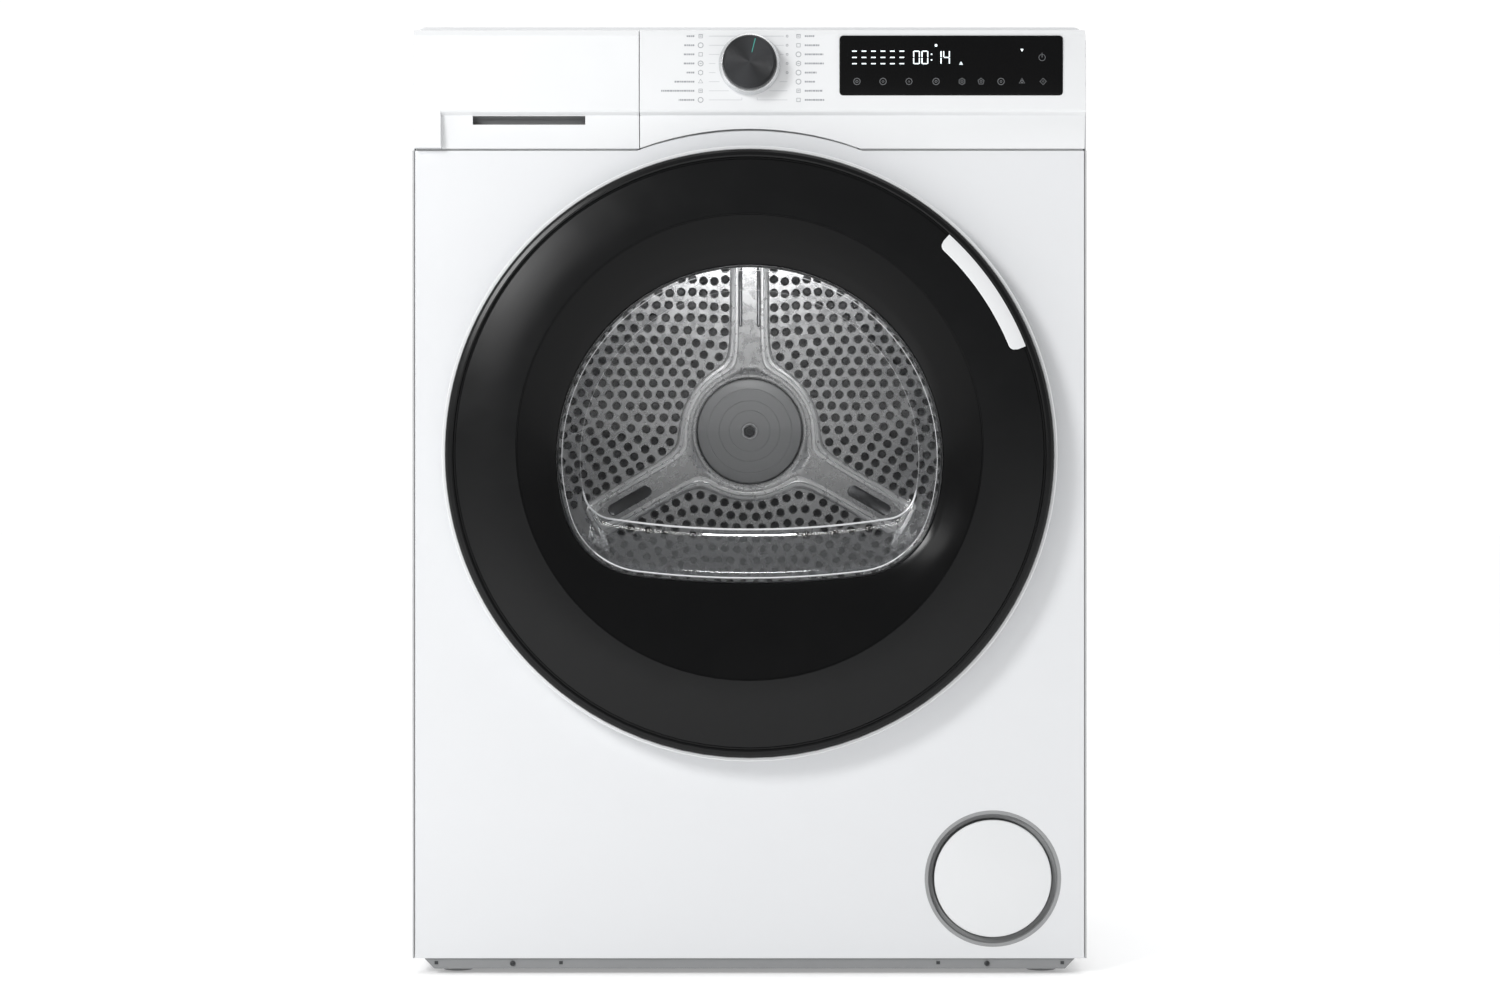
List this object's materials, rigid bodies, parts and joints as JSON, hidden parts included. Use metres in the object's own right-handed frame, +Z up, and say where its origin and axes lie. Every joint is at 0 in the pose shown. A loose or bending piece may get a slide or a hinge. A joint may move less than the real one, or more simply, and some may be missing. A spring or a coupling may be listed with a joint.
{
  "type": "heat-pump tumble dryer",
  "caption": "Front-loading heat-pump clothes dryer with a round hinged glass door, perforated drum, water tank drawer, control dial and display.",
  "frame": {"origin": "on the floor at the centre of the overall box", "axes": "+Z up, -Y out of the front, +X to the right of someone facing the front"},
  "size_m": [0.6, 0.6, 0.845],
  "materials": {
    "white_steel": "smooth white enamel",
    "white_plastic": "satin white",
    "worktop_white": "smooth white laminate",
    "black_gloss": "polished black",
    "door_glass": "clear, slightly smoked",
    "drum_steel": "pressed stainless sheet",
    "bright_steel": "turned",
    "zinc_steel": "galvanised",
    "silver_trim": "satin silver",
    "grey_plastic": "moulded, fine grain",
    "pale_grey_plastic": "moulded, fine grain",
    "dark_plastic": "moulded, fine grain",
    "tank_plastic": "milky",
    "black_rubber": "matt",
    "grey_rubber": "matt",
    "felt": "pressed wool felt",
    "copper": "drawn copper",
    "fin_aluminium": "thin bright fins",
    "motor_paint": "baked grey",
    "compressor_paint": "satin black",
    "circuit_board": "lacquered"
  },
  "bodies": {
    "cabinet": {"base_tray": "grey_plastic", "left_side_panel": "white_steel", "right_side_panel": "white_steel", "rear_panel": "zinc_steel", "front_panel": "white_steel", "top_panel": "worktop_white", "control_panel": "white_plastic", "display_window": "black_gloss", "control_board": "circuit_board", "front_bulkhead": "pale_grey_plastic", "front_felt_seal": "felt", "rear_air_duct": "grey_plastic", "rear_bearing": "bright_steel", "tank_tray": "grey_plastic", "drain_pump": "dark_plastic", "tank_hose": "grey_rubber", "evaporator": "fin_aluminium", "condenser": "fin_aluminium", "exchanger_housing": "dark_plastic", "compressor": "compressor_paint", "refrigerant_pipe": "copper", "motor_housing": "motor_paint", "blower_housing": "dark_plastic", "drum_belt": "black_rubber", "filter_pocket": "pale_grey_plastic", "hinge_bracket": "zinc_steel", "hinge_pin": "bright_steel", "door_lock": "dark_plastic", "flap_bezel": "white_plastic", "cable_gland": "dark_plastic"},
    "drum": {"drum_shell": "drum_steel", "drum_back": "drum_steel", "hub_cap": "pale_grey_plastic", "drum_shaft": "zinc_steel", "lifter_1": "pale_grey_plastic", "lifter_2": "pale_grey_plastic", "lifter_3": "pale_grey_plastic"},
    "motor_rotor": {"motor_shaft": "bright_steel", "motor_pulley": "zinc_steel", "blower_wheel": "dark_plastic"},
    "tension_lever": {"tension_arm": "zinc_steel"},
    "idler": {"idler_pulley": "dark_plastic"},
    "left_support_roller": {"left_roller": "grey_rubber"},
    "right_support_roller": {"right_roller": "grey_rubber"},
    "knob": {"knob_cap": "dark_plastic", "knob_skirt": "silver_trim"},
    "tank_drawer": {"water_tank": "tank_plastic", "tank_front": "white_plastic"},
    "filter": {"lint_filter": "pale_grey_plastic"},
    "door": {"door_frame": "white_plastic", "door_shroud": "black_gloss", "door_glass": "door_glass", "door_gasket": "grey_rubber", "door_hinge_leaf": "zinc_steel", "door_handle_plate": "white_plastic"},
    "flap": {"access_flap": "white_plastic"},
    "foot_front_left_body": {"foot_front_left": "grey_plastic"},
    "foot_front_right_body": {"foot_front_right": "grey_plastic"},
    "foot_rear_left_body": {"foot_rear_left": "grey_plastic"},
    "foot_rear_right_body": {"foot_rear_right": "grey_plastic"}
  },
  "joints": [
    {"name": "door_hinge", "type": "hinge", "parent": "cabinet", "child": "door", "pos_m": [-0.262, -0.278, 0.463], "axis": [0, 0, -1], "range_deg": [0, 110]},
    {"name": "drum_spin", "type": "hinge", "parent": "cabinet", "child": "drum", "pos_m": [0, 0, 0.493], "axis": [0, 1, 0], "continuous": true},
    {"name": "motor_spin", "type": "hinge", "parent": "cabinet", "child": "motor_rotor", "pos_m": [0.01, 0, 0.112], "axis": [0, 1, 0], "continuous": true},
    {"name": "tension_lever_pivot", "type": "hinge", "parent": "cabinet", "child": "tension_lever", "pos_m": [-0.105, 0.082, 0.095], "axis": [0, 1, 0], "range_deg": [0, 5], "stiffness_Nm_per_rad": 3, "springref_deg": -20.05},
    {"name": "idler_spin", "type": "hinge", "parent": "tension_lever", "child": "idler", "pos_m": [-0.08, 0.07, 0.16], "axis": [0, 1, 0], "continuous": true},
    {"name": "left_roller_spin", "type": "hinge", "parent": "cabinet", "child": "left_support_roller", "pos_m": [-0.1797, -0.144, 0.23636], "axis": [0, 1, 0], "continuous": true},
    {"name": "right_roller_spin", "type": "hinge", "parent": "cabinet", "child": "right_support_roller", "pos_m": [0.1797, -0.144, 0.23636], "axis": [0, 1, 0], "continuous": true},
    {"name": "knob_turn", "type": "hinge", "parent": "cabinet", "child": "knob", "pos_m": [0, -0.278, 0.808], "axis": [0, -1, 0], "continuous": true},
    {"name": "tank_slide", "type": "slide", "parent": "cabinet", "child": "tank_drawer", "axis": [0, -1, 0], "range_m": [0, 0.45]},
    {"name": "filter_lift", "type": "slide", "parent": "cabinet", "child": "filter", "axis": [0, 0, 1], "range_m": [0, 0.165]},
    {"name": "flap_hinge", "type": "hinge", "parent": "cabinet", "child": "flap", "pos_m": [0.2166, -0.253, 0.048], "axis": [1, 0, 0], "range_deg": [0, 75]},
    {"name": "foot_front_left_height", "type": "slide", "parent": "cabinet", "child": "foot_front_left_body", "axis": [0, 0, -1], "range_m": [0, 0.015]},
    {"name": "foot_front_right_height", "type": "slide", "parent": "cabinet", "child": "foot_front_right_body", "axis": [0, 0, -1], "range_m": [0, 0.015]},
    {"name": "foot_rear_left_height", "type": "slide", "parent": "cabinet", "child": "foot_rear_left_body", "axis": [0, 0, -1], "range_m": [0, 0.015]},
    {"name": "foot_rear_right_height", "type": "slide", "parent": "cabinet", "child": "foot_rear_right_body", "axis": [0, 0, -1], "range_m": [0, 0.015]}
  ],
  "couplings": [
    {"joint": "motor_spin", "follows": "drum_spin", "ratio": 25.727},
    {"joint": "idler_spin", "follows": "drum_spin", "ratio": 14.15},
    {"joint": "left_roller_spin", "follows": "drum_spin", "ratio": -9.4333},
    {"joint": "right_roller_spin", "follows": "drum_spin", "ratio": -9.4333}
  ]
}
